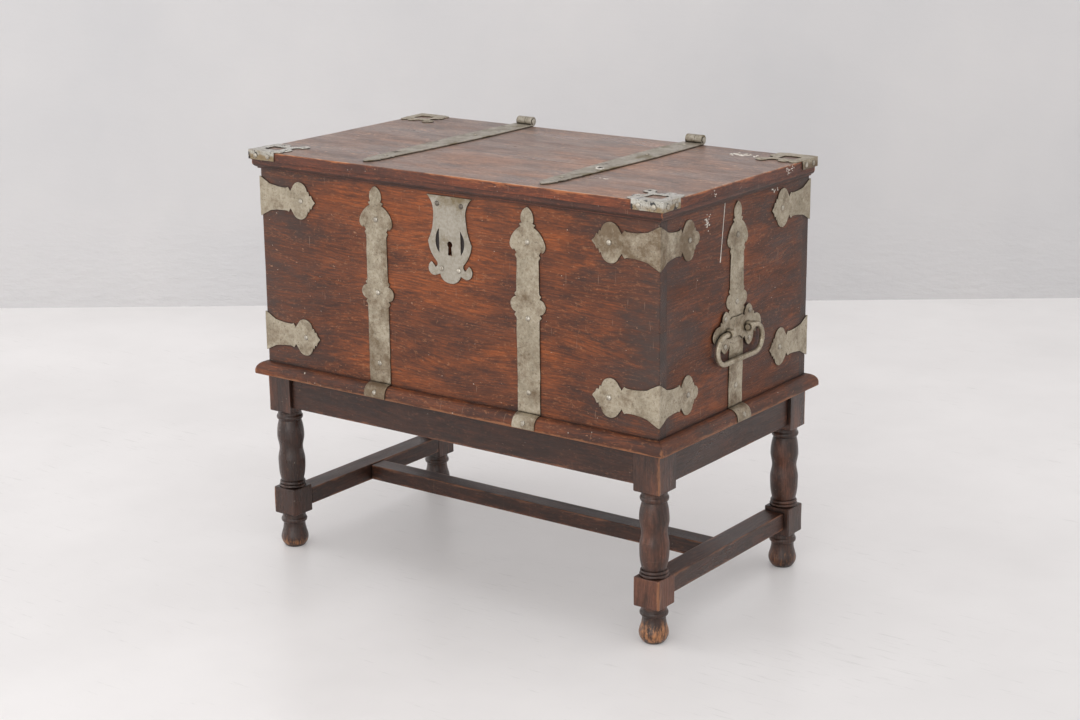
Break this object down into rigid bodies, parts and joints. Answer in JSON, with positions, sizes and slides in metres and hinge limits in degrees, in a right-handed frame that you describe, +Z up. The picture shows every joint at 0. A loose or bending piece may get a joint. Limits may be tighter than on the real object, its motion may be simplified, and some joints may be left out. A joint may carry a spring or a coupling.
{
  "type": "bible box on stand",
  "caption": "Boarded oak box with wrought strapwork, lock and drop handles, hinged lid, on a low stand with turned legs and an H stretcher.",
  "frame": {"origin": "middle of the floor under the whole piece", "axes": "+X along the chest to the right of someone facing the lock, +Y from the lock side to the hinge side, +Z up"},
  "size_m": [0.9424, 0.5464, 0.8075],
  "materials": {
    "chest_wood": "old dark stained oak, waxed, worn pale on the edges",
    "lid_wood": "old oak, waxed, rubbed greyish brown",
    "stand_wood": "dark stained oak, worn on feet and edges",
    "tinned_iron": "hammered sheet iron with worn tinning and brown rust",
    "nail_iron": "domed iron nails, rubbed bright",
    "lock_iron": "dark forged iron"
  },
  "bodies": {
    "case": {"apron_back": "stand_wood", "apron_front": "stand_wood", "apron_left": "stand_wood", "apron_right": "stand_wood", "back_board_lower": "chest_wood", "back_board_upper": "chest_wood", "bottom_board": "chest_wood", "chest_nails": "nail_iron", "corner_mount_back_left_lower": "tinned_iron", "corner_mount_back_left_upper": "tinned_iron", "corner_mount_back_right_lower": "tinned_iron", "corner_mount_back_right_upper": "tinned_iron", "corner_mount_front_left_lower": "tinned_iron", "corner_mount_front_left_upper": "tinned_iron", "corner_mount_front_right_lower": "tinned_iron", "corner_mount_front_right_upper": "tinned_iron", "end_board_left": "chest_wood", "end_board_right": "chest_wood", "end_strap_left": "tinned_iron", "end_strap_right": "tinned_iron", "front_board_lower": "chest_wood", "front_board_upper": "chest_wood", "front_strap_left": "tinned_iron", "front_strap_right": "tinned_iron", "handle_eyes_left": "tinned_iron", "handle_eyes_right": "tinned_iron", "handle_plate_left": "tinned_iron", "handle_plate_right": "tinned_iron", "hinge_leaf_left": "tinned_iron", "hinge_leaf_right": "tinned_iron", "hinge_pins": "tinned_iron", "leg_back_left": "stand_wood", "leg_back_right": "stand_wood", "leg_front_left": "stand_wood", "leg_front_right": "stand_wood", "lock_case": "lock_iron", "lock_plate": "tinned_iron", "plinth_moulding_back": "chest_wood", "plinth_moulding_front": "chest_wood", "plinth_moulding_left": "chest_wood", "plinth_moulding_right": "chest_wood", "stretcher_left": "stand_wood", "stretcher_middle": "stand_wood", "stretcher_right": "stand_wood"},
    "lid": {"hinge_strap_left": "tinned_iron", "hinge_strap_right": "tinned_iron", "lid_board_back": "lid_wood", "lid_board_front": "lid_wood", "lid_corner_plate_back_left": "tinned_iron", "lid_corner_plate_back_right": "tinned_iron", "lid_corner_plate_front_left": "tinned_iron", "lid_corner_plate_front_right": "tinned_iron", "lid_moulding_front": "chest_wood", "lid_moulding_left": "chest_wood", "lid_moulding_right": "chest_wood", "lid_nails": "nail_iron", "lock_staple": "lock_iron"},
    "bail_left": {"bail_left": "tinned_iron"},
    "bail_right": {"bail_right": "tinned_iron"},
    "lock_bolt": {"lock_bolt": "lock_iron"}
  },
  "joints": [
    {"name": "lid_hinge", "type": "hinge", "parent": "case", "child": "lid", "pos_m": [0, 0.2554, 0.798], "axis": [-1, 0, 0], "range_deg": [0, 100]},
    {"name": "bail_left", "type": "hinge", "parent": "case", "child": "bail_left", "pos_m": [-0.458, -0.004, 0.52], "axis": [0, 1, 0], "range_deg": [0, 150]},
    {"name": "bail_right", "type": "hinge", "parent": "case", "child": "bail_right", "pos_m": [0.458, -0.004, 0.52], "axis": [0, -1, 0], "range_deg": [0, 150]},
    {"name": "lock_bolt", "type": "slide", "parent": "case", "child": "lock_bolt", "axis": [1, 0, 0], "range_m": [0, 0.01]}
  ]
}
